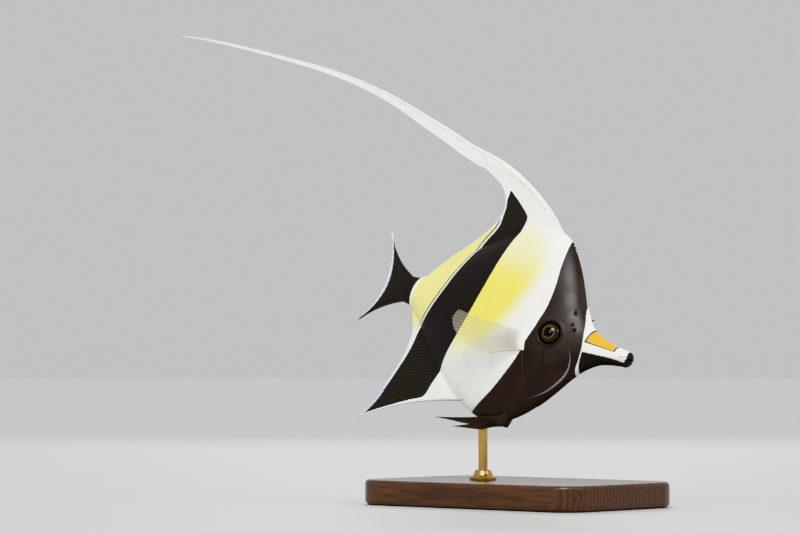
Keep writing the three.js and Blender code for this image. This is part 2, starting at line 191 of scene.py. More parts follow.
def giveWall(piece, half, least=0.0):  # half: half the thickness at each point, in millimetres
    most = float(half.max())
    group = piece.vertex_groups.new(name="thickness")
    for index, share in enumerate(half / most):
        group.add([index], float(max(share, least)), "REPLACE")
    wall = piece.modifiers.new("wall", "SOLIDIFY")
    wall.thickness = 2 * most / 1000
    wall.offset = 0
    wall.vertex_group = "thickness"
    selectOnly(piece)
    bpy.ops.object.modifier_apply(modifier=wall.name)
    sealAndSmooth(piece, 60)


def finishPiece(piece, slot, material, *nodes):
    piece.data.materials.clear()
    piece.data.materials.append(material)
    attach(piece, "root")
    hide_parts(*nodes)


# outlines of the flesh, from the tail stalk to the lips
flesh = {
    "rings": 300,
    "sides": 320,
    "ringsPerMm": [(-6, 1.2), (82, 1), (86, 3.4), (112, 3.4), (117, 1.5), (131, 1.5), (136, 4), (143, 5)],
    "flankCrowding": 0.25,
    "tailEnd": -6,
    "tailCap": 0.05,
    "snoutEnd": 143,
    "snoutRound": 1.9,
    "backLine": [
        (-6, 7.4), (0, 7.2), (6, 9.6), (15, 16), (25, 24.6), (36, 33.4), (48, 41.5), (60, 47.4),
        (70, 49.6), (80, 47.4), (88, 41.6), (96, 33), (102, 25), (107, 17.8), (112, 11.9), (117, 8.2),
        (123, 5.8), (130, 4.4), (137, 3.7), (141, 3), (143, 1.4)],
    "bellyLine": [
        (-6, -7.4), (0, -7.2), (6, -9.4), (15, -15.4), (25, -23.2), (36, -31.6), (48, -39.6), (60, -45.6),
        (72, -49), (82, -48.4), (90, -45.2), (97, -40), (104, -32.4), (110, -24.2), (115, -16.8),
        (120, -11.2), (126, -7.1), (132, -5.3), (138, -4.3), (141, -3.6), (143, -1.7)],
    "halfWidth": [
        (-6, 2), (0, 2.6), (10, 3.8), (25, 6.2), (45, 9), (65, 10.8), (82, 11.2), (94, 10.3), (103, 8.8),
        (110, 7), (117, 5.4), (125, 4.3), (133, 3.7), (139, 3.2), (141.8, 2.6), (143, 1.5)],
    "slimEdge": 1.32,
    "roundSnout": (108, 132),
    "gillLine": [(-42, 106), (-28, 97), (-14, 90), (0, 87.5), (14, 89), (30, 93), (50, 97)],
    "eye": (99, -1),
    "nostrils": [(109.5, 4.2, 0.6), (107.4, 6.4, 0.45)],  # x, z, radius
    "pectoral": (85.5, -9),
}

# relief of the skin: ridges as (height, place, width), steps as (height, rising range, falling range)
relief = {
    "gillStep": (0.8, (-0.35, 0.35), (1, 15)), "gillGroove": (-0.4, -0.45, 0.5),
    "cheekFold": (0.25, (10.6, 11.4), (12, 20)), "foldLow": (-6, 10), "gillReach": 40, "gillTop": (2, 12),
    "eyeClear": (5, 8), "orbitRim": (0.6, 6.2, 0.6), "socket": 1.9, "socketWall": (4.8, 5.6),
    "nostrilRim": (0.16, 1.7, 0.3), "nostrilHole": 0.9,
    "lips": (0.32, 140.9, 1.3), "mouthEdge": (0.14, 0.75, 0.4), "mouthSlit": (-0.6, 0, 0.2),
    "mouthOpens": (136, 138), "mouthLine": (-0.35, 0.14, 141, 6), "finShoulder": (0.5, 1, 3.4, 5.4),
}


def edgePower(x):  # over 1 the section has a slim edge above and below; the snout is a round tube
    return flesh["slimEdge"] - (flesh["slimEdge"] - 1) * ramp(x, *flesh["roundSnout"])


def midLine(x):
    return 0.25 * (along(flesh["backLine"], x) + along(flesh["bellyLine"], x))


def flankAt(x, z):
    x, z = np.asarray(x, float), np.asarray(z, float)
    top, bottom, middle = along(flesh["backLine"], x), along(flesh["bellyLine"], x), midLine(x)
    reach = np.where(z > middle, top - middle, middle - bottom)
    share = np.minimum(np.abs(z - middle) / reach, 1)
    return along(flesh["halfWidth"], x) * (1 - share**2) ** (edgePower(x) / 2)


def gillCover(x, z):  # how far the gill cover stands proud, with a fine groove behind its edge
    ahead = x - along(flesh["gillLine"], z)
    height, rises, falls = relief["gillStep"]
    cover = height * between(ahead, rises, falls) + swell(ahead, *relief["gillGroove"])
    height, rises, falls = relief["cheekFold"]
    cover += height * between(ahead, rises, falls) * ramp(-z, *relief["foldLow"])
    return cover * np.clip(1 - (z / relief["gillReach"]) ** 2, 0, 1) * (1 - ramp(z, *relief["gillTop"]))


def skinRelief(x, z):
    ex, ez = flesh["eye"]
    away = np.hypot(x - ex, z - ez)
    out = gillCover(x, z) * ramp(away, *relief["eyeClear"]) + swell(away, *relief["orbitRim"])
    out -= relief["socket"] * (1 - ramp(away, *relief["socketWall"]))
    height, rim, width = relief["nostrilRim"]  # the rim's place is in radii
    for nx, nz, radius in flesh["nostrils"]:
        away = np.hypot(x - nx, z - nz)
        out += swell(away, height, rim * radius, width) - swell(away, relief["nostrilHole"], 0, radius)
    level, slope, front, reach = relief["mouthLine"]
    away = np.abs(z - level + slope * np.clip(front - x, 0, reach))
    mouth = swell(away, *relief["mouthEdge"]) + swell(away, *relief["mouthSlit"])
    out += swell(x, *relief["lips"]) + ramp(x, *relief["mouthOpens"]) * mouth
    px, pz = flesh["pectoral"]
    height, ahead, halfLength, halfHeight = relief["finShoulder"]
    return out + swell(np.hypot((x - px - ahead) / halfLength, (z - pz) / halfHeight), height, 0, 1)


def makeSkin():
    skin = addPiece(
        "fish_skin", bpy.ops.mesh.primitive_uv_sphere_add,
        segments=flesh["sides"], ring_count=flesh["rings"], radius=1)
    ball = readPoints(skin)
    lift = np.arcsin(np.clip(ball[:, 2], -1, 1))
    around = np.arctan2(ball[:, 1], ball[:, 0])
    # more rings on the head and lips, and more sides along the middle of the flank
    fine = np.linspace(flesh["tailEnd"], flesh["snoutEnd"], 2000)
    count = np.cumsum(np.interp(fine, *zip(*flesh["ringsPerMm"])))
    x = np.interp(lift / math.pi + 0.5, (count - count[0]) / (count[-1] - count[0]), fine)
    around = around - flesh["flankCrowding"] * np.sin(2 * around)
    tailCap = np.clip(np.cos(lift) / flesh["tailCap"], 0, 1) ** 0.5
    intoTip = np.clip(x - (flesh["snoutEnd"] - flesh["snoutRound"]), 0, None) / flesh["snoutRound"]
    snoutCap = np.sqrt(np.clip(1 - intoTip**2, 0, 1))
    roundEnd = np.where(x < flesh["eye"][0], tailCap, snoutCap)
    top, bottom, middle = along(flesh["backLine"], x), along(flesh["bellyLine"], x), midLine(x)
    up, side = np.sin(around), np.cos(around)
    z = middle + roundEnd * up * np.where(up > 0, top - middle, middle - bottom)
    y = roundEnd * np.sign(side) * along(flesh["halfWidth"], x) * np.abs(side) ** edgePower(x)
    writePoints(skin, np.stack([x, y, z], 1))
    points, normals = readPoints(skin), readNormals(skin)
    points += normals * skinRelief(points[:, 0], points[:, 2])[:, None]
    points[:, 1] += sway(points[:, 0])
    writePoints(skin, toWorld(points))
    smoothShade(skin)
    return skin


# edges of the colours in side view, as (z, x) pairs, but (x, z) for the side line
markings = {
    "frontBandRear": [
        (-51, 64), (-45.3, 69.7), (-35.4, 77.8), (-21.6, 84.9), (-8.2, 89), (7.3, 91.6), (20.5, 90.3),
        (31.5, 87), (43.3, 83.4), (52, 80)],
    "frontBandFront": [
        (-30, 117), (-20, 116.5), (-13.2, 116.4), (-7.1, 117.2), (-0.6, 116.4), (7.8, 112.6), (14.6, 108.6),
        (19, 106.4), (26, 103), (34, 99), (44, 92), (52, 86)],
    "rearBandFront": [
        (-66.5, 2), (-62, 9.5), (-57, 18.5), (-52, 28), (-48.6, 34.8), (-40.7, 37), (-29.6, 40.2),
        (-13, 45.8), (-4.5, 47.7), (11, 49.8), (27.9, 50.5), (43, 50.6), (50.9, 50.8), (54, 47.4),
        (58, 41), (61.8, 34.2), (66, 27)],
    "rearBandRear": [
        (-67, 1), (-62, 3.8), (-51.4, 9.1), (-39, 12.3), (-27.3, 14.4), (-17.2, 15.2), (-12.6, 17.4),
        (-6.1, 20.3), (5, 24.3), (17.5, 27.6), (33.1, 32), (42.8, 36.2), (50, 35.8), (55.4, 34.2),
        (61.8, 33.4), (66, 32)],
    "lemonFront": [(-60, 46), (-24, 58), (-12, 66), (4, 74), (18, 78), (34, 77), (48, 66), (60, 50)],
    "cheekLine": [(-34, 97.5), (-28.6, 104.4), (-21.7, 109.8), (-14.8, 113.2), (-9.1, 113.3), (-5.4, 111.4)],
    "sideLine": [(4, 3), (14, 8), (28, 20), (42, 29.5), (56, 33), (70, 31), (80, 26), (90, 19)],
}

# where the yellow and the thin line behind the rear band fade, in millimetres
fades = {
    "lemonFront": (-6, 7), "lemon": ((-30, -8), (38, 54)), "lemonPaler": (16, 36),
    "stalkFront": (1, 2.4), "stalk": ((-22, -12), (58, 70)), "stalkEnd": (-2.4, -1.2),
    "line": ((-20, -10), (50, 58)),
}
lemonShares = {"paler": 0.6, "stalk": 0.75}
patches = {
    "tailBand": {"at": 1.4, "curve": 0.012, "within": (8, 30)},
    "saddle": {"at": 125.5, "half": 8, "low": 0.28, "height": 6},
    "chin": {"from": 117.5, "top": 2.3, "slope": 0.1, "slopeWithin": (133, 20)},
    "lips": {"from": 141.4, "curve": 0.25, "within": 112},
    "cheekLine": {"steps": 60, "within": (92, 120), "half": 0.4, "middle": -19, "reach": 14.5, "endStep": 3},
    "sideLine": {"within": (6, 88)},
    "brow": {"within": (84, 112)},
}
farOff = 9.0  # stands for a distance where a marking is nowhere near


def within(x, name):
    low, high = patches[name]["within"]
    return (x > low) & (x < high)


def edgeGap(x, z, name):  # how far ahead of an edge a point is, measured square to the edge
    gap = x - along(markings[name], z)
    slope = along(markings[name], z + 0.5) - along(markings[name], z - 0.5)
    return gap / np.sqrt(1 + slope**2)


def bandMarks(x, z):
    behind = -edgeGap(x, z, "rearBandRear")
    band = patches["tailBand"]
    tail = band["at"] - x + band["curve"] * z**2
    ahead, half = band["within"]
    # the yellow before the rear band, and the paler yellow behind it
    middle = ramp(-edgeGap(x, z, "lemonFront"), *fades["lemonFront"]) * between(z, *fades["lemon"])
    middle *= 1 - lemonShares["paler"] * ramp(z, *fades["lemonPaler"])
    stalk = between(z, *fades["stalk"]) * (1 - ramp(tail, *fades["stalkEnd"]))
    stalk *= ramp(behind, *fades["stalkFront"])
    return {
        "frontBand": np.minimum(edgeGap(x, z, "frontBandRear"), -edgeGap(x, z, "frontBandFront")),
        "rearBand": np.minimum(-behind, -edgeGap(x, z, "rearBandFront")),
        "tailBand": np.where((x < ahead) & (np.abs(z) < half), tail, -farOff),
        "behindBand": behind,
        "lineFade": between(z, *fades["line"]),
        "lemon": np.where(behind > 0, lemonShares["stalk"] * stalk, middle)}


def snoutMarks(x, z):
    middle = midLine(x)
    rise = (z - middle) / np.maximum(along(flesh["backLine"], x) - middle, 0.5)
    patch = patches["saddle"]
    ends = 1 - np.abs(x - patch["at"]) / patch["half"]
    saddle = np.minimum(ends, (rise - patch["low"]) / (1 - patch["low"])) * patch["height"]
    patch = patches["chin"]
    start, reach = patch["slopeWithin"]
    top = -(z + patch["top"] + patch["slope"] * np.clip(start - x, 0, reach))
    chin = np.minimum(top, x - patch["from"])
    patch = patches["lips"]
    lips = x - patch["from"] + patch["curve"] * np.abs(z - middle)
    return {"saddle": saddle, "chin": np.where(x > patch["within"], np.maximum(chin, lips), -farOff)}


def cheekMarks(x, z):
    patch = patches["cheekLine"]
    last = patch["steps"] - 1
    heights = np.linspace(markings["cheekLine"][0][0], markings["cheekLine"][-1][0], patch["steps"])
    line = np.stack([along(markings["cheekLine"], heights), heights], 1)
    # the distance has a sign, so that it stays exact between the points of the mesh
    away = np.full(len(x), farOff)
    for i in np.nonzero(within(x, "cheekLine") & (z < 0))[0]:
        gap = (x[i], z[i]) - line
        near = np.argmin((gap**2).sum(1))
        ahead = line[min(near + 1, last)] - line[max(near - 1, 0)]
        cross = (ahead[0] * gap[near, 1] - ahead[1] * gap[near, 0]) / np.hypot(*ahead)
        past = abs(gap[near] @ ahead) / np.hypot(*ahead) if near in (0, last) else 0
        away[i] = cross + math.copysign(patch["endStep"] * past, cross)
    taper = 1 - np.clip(np.abs(z - patch["middle"]) / patch["reach"], 0, 1) ** 2
    return {"cheekLine": away, "cheekThin": patch["half"] * taper}


def markFish(piece):
    points = toFish(readPoints(piece))
    x, z = points[:, 0], points[:, 2]
    marks = {
        **bandMarks(x, z), **snoutMarks(x, z), **cheekMarks(x, z),
        "sideLine": np.where(within(x, "sideLine"), z - along(markings["sideLine"], x), farOff),
        "brow": np.where(within(x, "brow"), along(flesh["backLine"], x) - z, farOff)}
    for name, values in marks.items():
        keepNumber(piece, name, values)


class Shader:  # joins nodes by name
    def __init__(self, name):
        self.material = bpy.data.materials.new(name)
        self.material.use_nodes = True
        self.tree = self.material.node_tree
        self.tree.nodes.clear()
        self.surface = self.add("BsdfPrincipled")
        self.join(self.surface.outputs[0], self.add("OutputMaterial").inputs["Surface"])

    def add(self, kind, **values):
        node = self.tree.nodes.new("ShaderNode" + kind)
        for key, value in values.items():
            setattr(node, key, value)
        return node

    def join(self, source, target):
        self.tree.links.new(source, target)

    def put(self, socket, value):
        if isinstance(value, bpy.types.NodeSocket):
            self.join(value, socket)
        else:
            socket.default_value = value

    def give(self, values):  # by the names of the surface's sockets
        for name, value in values.items():
            self.put(self.surface.inputs[name], value)

    def number(self, name):
        return self.add("Attribute", attribute_name=name).outputs["Fac"]

    def math(self, how, a, b=0.0, c=None):
        node = self.add("Math", operation=how)
        self.put(node.inputs[0], a)
        self.put(node.inputs[1], b)
        if c is not None:
            self.put(node.inputs[2], c)
        return node.outputs[0]

    def times(self, a, b):
        return self.math("MULTIPLY", a, b)

    def plus(self, a, b):
        return self.math("ADD", a, b)

    def wave(self, how, value):  # a sine or cosine that runs from 0 to 1
        return self.math("MULTIPLY_ADD", self.math(how, value), 0.5, 0.5)

    def step(self, value, low, high, toLow=0.0, toHigh=1.0):
        node = self.add("MapRange", interpolation_type="SMOOTHSTEP")
        self.put(node.inputs["Value"], value)
        for key, number in (("From Min", low), ("From Max", high), ("To Min", toLow), ("To Max", toHigh)):
            self.put(node.inputs[key], number)
        return node.outputs[0]

    def mix(self, share, a, b):
        node = self.add("Mix", data_type="RGBA")
        self.put(node.inputs[0], share)
        self.put(node.inputs[6], a if isinstance(a, bpy.types.NodeSocket) else (*a, 1))
        self.put(node.inputs[7], b if isinstance(b, bpy.types.NodeSocket) else (*b, 1))
        return node.outputs[2]

    def place(self):
        return self.add("TexCoord").outputs["Object"]

    def stretched(self, *scale):
        mapping = self.add("Mapping")
        mapping.inputs["Scale"].default_value = scale
        self.join(self.place(), mapping.inputs["Vector"])
        return mapping.outputs[0]

    def split(self, vector):
        node = self.add("SeparateXYZ")
        self.join(vector, node.inputs[0])
        return node.outputs

    def noise(self, scale, detail=2.0, where=None):
        node = self.add("TexNoise")
        self.put(node.inputs["Vector"], where or self.place())
        node.inputs["Scale"].default_value = scale
        node.inputs["Detail"].default_value = detail
        return node.outputs["Fac"]

    def cells(self, scale):
        node = self.add("TexVoronoi")
        self.put(node.inputs["Vector"], self.place())
        node.inputs["Scale"].default_value = scale
        return node.outputs["Distance"]

    def bump(self, height, distance, strength):
        node = self.add("Bump")
        node.inputs["Distance"].default_value = distance
        node.inputs["Strength"].default_value = strength
        self.put(node.inputs["Height"], height)
        self.join(node.outputs[0], self.surface.inputs["Normal"])


# paint of the fish; every number is a colour in linear light
fishColours = {
    "white": (0.86, 0.86, 0.83), "shadedWhite": (0.8, 0.81, 0.77),
    "lemon": (0.88, 0.84, 0.09), "deepLemon": (0.86, 0.72, 0.04),
    "frontBlack": (0.016, 0.009, 0.006), "frontBrown": (0.032, 0.017, 0.01),
    "frontSpeck": (0.045, 0.027, 0.018),
    "rearBlack": (0.008, 0.0065, 0.005), "rearSpeck": (0.018, 0.014, 0.011),
    "saddle": (0.86, 0.5, 0.02), "lavender": (0.4, 0.33, 0.45), "edgeBlue": (0.62, 0.66, 0.78),
    "ray": (0.13, 0.11, 0.06), "membrane": (0.72, 0.7, 0.55), "clearRay": (0.42, 0.37, 0.22),
    "breastBlack": (0.016, 0.01, 0.008), "breastBrown": (0.05, 0.032, 0.022),
    "breastRay": (0.07, 0.05, 0.035),
    "iris": (0.05, 0.026, 0.01), "irisRim": (0.008, 0.005, 0.004), "irisStreak": (0.08, 0.045, 0.02),
    "irisGold": (0.42, 0.27, 0.08), "pupil": (0.002, 0.002, 0.003),
    "hornBlack": (0.02, 0.013, 0.01), "hornBrown": (0.09, 0.06, 0.04),
}
# sizes are noise scales, edges are in millimetres, and the rest are shares
paint = {
    "wobbleSize": 900, "mottleSize": 140, "grainSize": 2600, "scaleSize": 1500, "hornSize": 1800,
    "skinWobble": 0.25, "finWobble": 0.2,
    "bandEdge": (-0.15, 0.2), "browEdge": (0.42, 0.18), "cheekEdge": (0.12, -0.2), "chinEdge": (-0.1, 0.5),
    "thinLine": ((1.05, 1.35), (2.2, 1.8)),
    "saddleEdge": (0.0, 0.3), "saddleRim": ((-0.7, -0.45), (0.25, 0.0)),
    "lemonShare": 0.86, "lineShare": 0.85, "cheekShare": 0.7, "browShare": 0.65, "rimShare": 0.9,
    "speckShare": 0.5, "rayShare": 0.16, "rayDarkness": 0.6, "breastRayShare": 0.3,
    "finJoints": 52, "streamerJoints": 5, "reliefDepth": 0.00004,
}


def fishPaint(shader, wobble):
    c = fishColours
    loose = shader.times(shader.math("SUBTRACT", shader.noise(paint["wobbleSize"], 3), 0.5), wobble * 2)
    mottle = shader.noise(paint["mottleSize"], 4)
    grain = shader.noise(paint["grainSize"], 2)

    def wavy(name):
        return shader.plus(shader.number(name), loose)

    def band(name):
        return shader.step(wavy(name), *paint["bandEdge"])

    def stripe(value, edges):
        return shader.times(shader.step(value, *edges[0]), shader.step(value, *edges[1]))

    colour = shader.mix(shader.step(mottle, 0.35, 0.7), c["white"], c["shadedWhite"])
    lemon = shader.mix(shader.step(grain, 0.3, 0.75), c["lemon"], c["deepLemon"])
    colour = shader.mix(shader.times(shader.number("lemon"), paint["lemonShare"]), colour, lemon)
    # a thin dark line behind the rear band, with white between the two
    dark = shader.times(stripe(wavy("behindBand"), paint["thinLine"]), shader.number("lineFade"))
    colour = shader.mix(shader.times(dark, paint["lineShare"]), colour, c["rearBlack"])
    # the black bands, with a pale line on the cheek and a white brow
    rearBlack = shader.mix(shader.step(grain, 0.35, 0.8), c["rearBlack"], c["rearSpeck"])
    colour = shader.mix(band("rearBand"), colour, rearBlack)
    warm = shader.mix(shader.step(mottle, 0.3, 0.75), c["frontBlack"], c["frontBrown"])
    warm = shader.mix(shader.times(shader.step(grain, 0.5, 0.85), paint["speckShare"]), warm, c["frontSpeck"])
    away = shader.math("ABSOLUTE", shader.number("cheekLine"))
    line = shader.step(shader.math("SUBTRACT", away, shader.number("cheekThin")), *paint["cheekEdge"])
    warm = shader.mix(shader.times(line, paint["cheekShare"]), warm, c["lavender"])
    colour = shader.mix(band("frontBand"), colour, warm)
    brow = shader.step(shader.number("brow"), *paint["browEdge"])
    colour = shader.mix(shader.times(brow, paint["browShare"]), colour, c["white"])
    colour = shader.mix(band("tailBand"), colour, rearBlack)
    # snout: yellow saddle with a dark rim, dark chin and lips
    saddle = shader.number("saddle")
    rim = stripe(saddle, paint["saddleRim"])
    colour = shader.mix(shader.step(saddle, *paint["saddleEdge"]), colour, c["saddle"])
    colour = shader.mix(shader.times(rim, paint["rimShare"]), colour, c["rearBlack"])
    colour = shader.mix(shader.step(wavy("chin"), *paint["chinEdge"]), colour, c["rearBlack"])
    return colour, mottle, grain


def paintSkin():
    shader = Shader("painted_fish_skin")
    colour, mottle, grain = fishPaint(shader, paint["skinWobble"])
    scales = shader.step(shader.cells(paint["scaleSize"]), 0.1, 0.75, 1.0, 0.0)
    sideLine = shader.step(shader.math("ABSOLUTE", shader.number("sideLine")), 0.55, 0.1)
    height = shader.plus(shader.times(scales, 0.5), shader.times(grain, 0.3))
    shader.bump(shader.plus(height, shader.times(sideLine, 1.6)), paint["reliefDepth"], 0.6)
    shader.give({
        "Base Color": colour, "Roughness": shader.step(mottle, 0.3, 0.75, 0.36, 0.5),
        "Specular IOR Level": 0.45, "Coat Weight": 0.12, "Coat Roughness": 0.25})
    return shader.material


# the fin's own map has u across the rays and v out along them
def finTexture(shader, rays, jointCount=paint["finJoints"]):
    across, out, _ = shader.split(shader.add("UVMap", uv_map="UVMap").outputs["UV"])
    ray = shader.wave("COSINE", shader.times(across, rays * 2 * math.pi))
    joints = shader.wave("SINE", shader.times(out, jointCount * 2 * math.pi))
    return out, ray, shader.times(joints, ray)


def paintFin(name, rays, *edges, jointCount=paint["finJoints"]):
    shader = Shader(name)
    colour, mottle, grain = fishPaint(shader, paint["finWobble"])
    out, ray, joints = finTexture(shader, rays, jointCount)
    show = shader.times(shader.times(ray, paint["rayShare"]), shader.number("rayShow"))
    colour = shader.mix(show, colour, shader.mix(paint["rayDarkness"], colour, fishColours["ray"]))
    for low, high, rim in edges:
        colour = shader.mix(shader.step(out, low, high), colour, fishColours[rim])
    shader.bump(shader.plus(joints, shader.times(grain, 0.12)), paint["reliefDepth"], 0.6)
    roughness = shader.step(mottle, 0.3, 0.75, 0.38, 0.52)
    shader.give({"Base Color": colour, "Roughness": roughness, "Coat Weight": 0.08})
    return shader.material


# fans of rays: share from the leading ray to the last, root x, tip x, tip z
finFans = {
    "dorsal": [
        (0, 83.5, -12, 80), (0.09, 78, 6, 71.8), (0.18, 71.5, 18, 67.2), (0.28, 66, 26.5, 63.2),
        (0.38, 59.5, 32, 58), (0.49, 52, 34.8, 51.2), (0.6, 44, 33, 44.2), (0.71, 35.5, 28.6, 37.4),
        (0.81, 27, 21.8, 29.6), (0.91, 18, 13.6, 21), (1, 9.5, 5.4, 10.4)],
    "anal": [
        (0, 62, -1, -69.2), (0.1, 57, 3.4, -62.5), (0.2, 51.5, 6.6, -55.6), (0.32, 45, 8, -47.6),
        (0.44, 38, 10.2, -39.2), (0.56, 31, 11.2, -31.6), (0.68, 24.5, 11, -25), (0.8, 18, 10.6, -19.4),
        (0.9, 12.5, 8.4, -14.8), (1, 8.5, 5.7, -10)],
    "pectoral": [
        (0, 0, -33, 7.5), (0.15, 0, -34.5, 3), (0.35, 0, -32, -2.5), (0.6, 0, -26, -7.2),
        (0.8, 0, -19, -9.4), (1, 0, -11.5, -9.6)],
    "pelvic": [(0, 0, -34, -1), (0.3, 0, -27.5, -1.6), (0.6, 0, -20, -2.6), (1, 0, -12, -3.4)],
}
# what the fins share; heights are half thicknesses in millimetres
finShape = {
    "sunk": 3,  # how deep the rays start in the flesh
    "sunkRows": 0.12,  # share of the rows that run on deeper
    "branch": 0.8, "branches": (0.5, 0.8),  # each ray parts in two on its way out
    "notch": 0.012, "notches": (0.6, 1),
    "thinning": 0.55,
    "sideEdge": 0.55, "sideRound": (-0.1, 0.45),
    "tipEdge": 0.4, "tipRound": (0.95, 1),
    "rayFade": 0.7, "raysRise": (-1, 7), "raysShow": (0, 8),
    "padReach": 0.1,
    "footFlare": 1.2, "footBlend": 1.8, "footFillet": 0.45, "footSkin": 0.06,
    "footEnd": 0.6, "footEnds": (0.2, 1),
}
dorsalBow = -8.6


def peak(across, rays):  # 1 on each ray, 0 between two
    return (0.5 + 0.5 * np.cos(2 * math.pi * across * rays)) ** 2


def finHalf(recipe, share, raw, out, deep, x, z, clear, ray):  # half the fin's thickness
    shape = finShape
    half = recipe["rootHalf"] + (recipe["edgeHalf"] - recipe["rootHalf"]) * out ** shape["thinning"]
    fromSide = np.minimum(share, 1 - share) * recipe["rays"]
    half = half * (1 - shape["sideEdge"] * (1 - ramp(fromSide, *shape["sideRound"])))
    half = half * (1 - shape["tipEdge"] * ramp(raw, *shape["tipRound"]))
    half = half + recipe["ridge"] * ray * (1 - shape["rayFade"] * out) * ramp(clear, *shape["raysRise"])
    half = half + swell(out, recipe.get("pad", 0), 0, shape["padReach"])
    if "clear" in recipe:  # the fin's foot flares out and runs into the flank
        inside = flankAt(x, z) - shape["footFlare"] * np.clip(clear, 0, None)
        near = np.clip(1 - np.abs(half - inside) / shape["footBlend"], 0, 1)
        half = np.maximum(half, inside) + shape["footFillet"] * near**2 + shape["footSkin"] * (clear < 0)
        half = half - shape["footEnd"] * ramp(deep, *shape["footEnds"])
    return half


def makeFin(name, recipe, place=None):
    fin, share, raw = addSheet(name, recipe["rays"] * recipe["perRay"], recipe["rows"])
    sunkRows = finShape["sunkRows"]
    deep = np.clip(1 - raw / sunkRows, 0, 1)
    out = np.clip((raw - sunkRows) / (1 - sunkRows), 0, 1)
    single, double = peak(share, recipe["rays"]), peak(share, recipe["rays"] * 2)
    branch = finShape["branch"] * ramp(out, *finShape["branches"])
    ray = single * (1 - branch) + double * branch
    # out along a bowed line from root to tip, a little shorter between two rays
    rx, rz = recipe["root"](share)
    tx, tz = recipe["tip"](share)
    reach = np.hypot(tx - rx, tz - rz)
    arch = recipe["bow"](share) * 4 * out * (1 - out)
    notch = recipe.get("notch", finShape["notch"])
    far = out * (1 - notch * (1 - single) * ramp(out, *finShape["notches"]))
    dx, dz, dy = recipe["sunk"]
    if "clear" in recipe:  # not through the thin end of the tail stalk
        dz = dz * np.minimum(1, 0.07 * np.abs(rz))
    x = rx + (tx - rx) * far - (tz - rz) / reach * arch + deep * dx
    z = rz + (tz - rz) * far + (tx - rx) / reach * arch + deep * dz
    y = recipe["ripple"](share, out) + deep * dy
    clear = recipe["clear"](x, z) if "clear" in recipe else 60 * (raw - 1.6 * sunkRows)
    half = finHalf(recipe, share, raw, out, deep, x, z, clear, ray)
    points = np.stack([x, y, z], 1)
    if place:
        points = place(points)
    points[:, 1] += sway(points[:, 0])
    writePoints(fin, toWorld(points))
    keepNumber(fin, "rayShow", ramp(clear, *finShape["raysShow"]))
    giveWall(fin, half)
    return fin


def fanTip(fan):
    return lambda share: (along(finFans[fan], share, 2), along(finFans[fan], share, 3))


def fanRoot(fan, edge, sunk):
    def root(share):
        x = along(finFans[fan], share, 1)
        return x, along(flesh[edge], x) + sunk
    return root


def overBack(x, z):
    return z - along(flesh["backLine"], x)


def underBelly(x, z):
    return along(flesh["bellyLine"], x) - z


# root and tip give (x, z) of a ray by its share, bow its curve, ripple its swing to the side, sunk the
# way (x, z, y) that the root takes inside the flesh, and clear how far a point is out of the flesh
finRecipes = {
    "dorsal": {
        "clear": overBack, "sunk": (0, -5, 0),
        "rays": 40, "perRay": 5, "rows": 44, "rootHalf": 1.2, "edgeHalf": 0.26, "ridge": 0.19,
        "root": fanRoot("dorsal", "backLine", -finShape["sunk"]), "tip": fanTip("dorsal"),
        "bow": lambda share: dorsalBow * (1 - share) ** 2,
        "ripple": lambda share, out: 0.7 * out * np.sin(9 * share) * share},
    "anal": {
        "clear": underBelly, "sunk": (0, 5, 0),
        "rays": 33, "perRay": 5, "rows": 40, "rootHalf": 1.2, "edgeHalf": 0.26, "ridge": 0.19,
        "root": fanRoot("anal", "bellyLine", finShape["sunk"]), "tip": fanTip("anal"),
        "bow": lambda share: -3.4 * (1 - share) ** 2,
        "ripple": lambda share, out: -0.6 * out * np.sin(8 * share) * share},
    "caudal": {
        "clear": lambda x, z: -4 - x, "sunk": (5, 0, 0),
        "rays": 16, "perRay": 8, "rows": 40, "rootHalf": 1.1, "edgeHalf": 0.24, "ridge": 0.3,
        "root": lambda share: (np.full_like(share, -3.2), 6.6 * (2 * share - 1)),
        "tip": lambda share: (-19.5 - 12 * np.abs(2 * share - 1) ** 1.9, 25.6 * (2 * share - 1)),
        "bow": lambda share: 2.6 * (2 * share - 1),
        "ripple": lambda share, out: 0.8 * out * np.cos(5 * share)},
    "pectoral": {
        "rays": 18, "perRay": 10, "notch": 0.006, "rows": 34, "rootHalf": 0.8, "edgeHalf": 0.2,
        "ridge": 0.2, "pad": 0.5, "sunk": (3.5, 0, -0.8),
        "root": lambda share: (np.full_like(share, 2.5), 9 * (0.5 - share)), "tip": fanTip("pectoral"),
        "bow": lambda share: 1.2 * (0.5 - share),
        "ripple": lambda share, out: 2.5 * out**2},
    "pelvic": {
        "rays": 6, "perRay": 10, "rows": 34, "rootHalf": 0.9, "edgeHalf": 0.22,
        "ridge": 0.3, "pad": 0.7, "sunk": (1.5, 2, -2.2),
        "root": lambda share: (np.full_like(share, 2.5), 4.4 * (0.5 - share)), "tip": fanTip("pelvic"),
        "bow": lambda share: 1.2 * (0.5 - share),
        "ripple": lambda share, out: 1.2 * out**2},
}
# the paired fins turn about their roots, in radians, one after the other
pairedFins = {
    "pectoral": {"turns": (("Z", -0.42),), "droop": -0.16},
    "pelvic": {"turns": (("X", -0.5), ("Z", -0.12)), "droop": -0.24, "at": (85, 2.6, -47.2)},
}


def pairedPlace(fin, side):
    setting = pairedFins[fin]
    if "at" in setting:
        x, out, z = setting["at"]
    else:
        x, z = flesh["pectoral"]
        out = float(flankAt(x, z))

    def place(points):
        points = points * (1, side, 1)
        for axis, angle in setting["turns"]:
            points = turned(points, axis, side * angle)
        return turned(points, "Y", setting["droop"]) + (x, side * out, z)
    return place


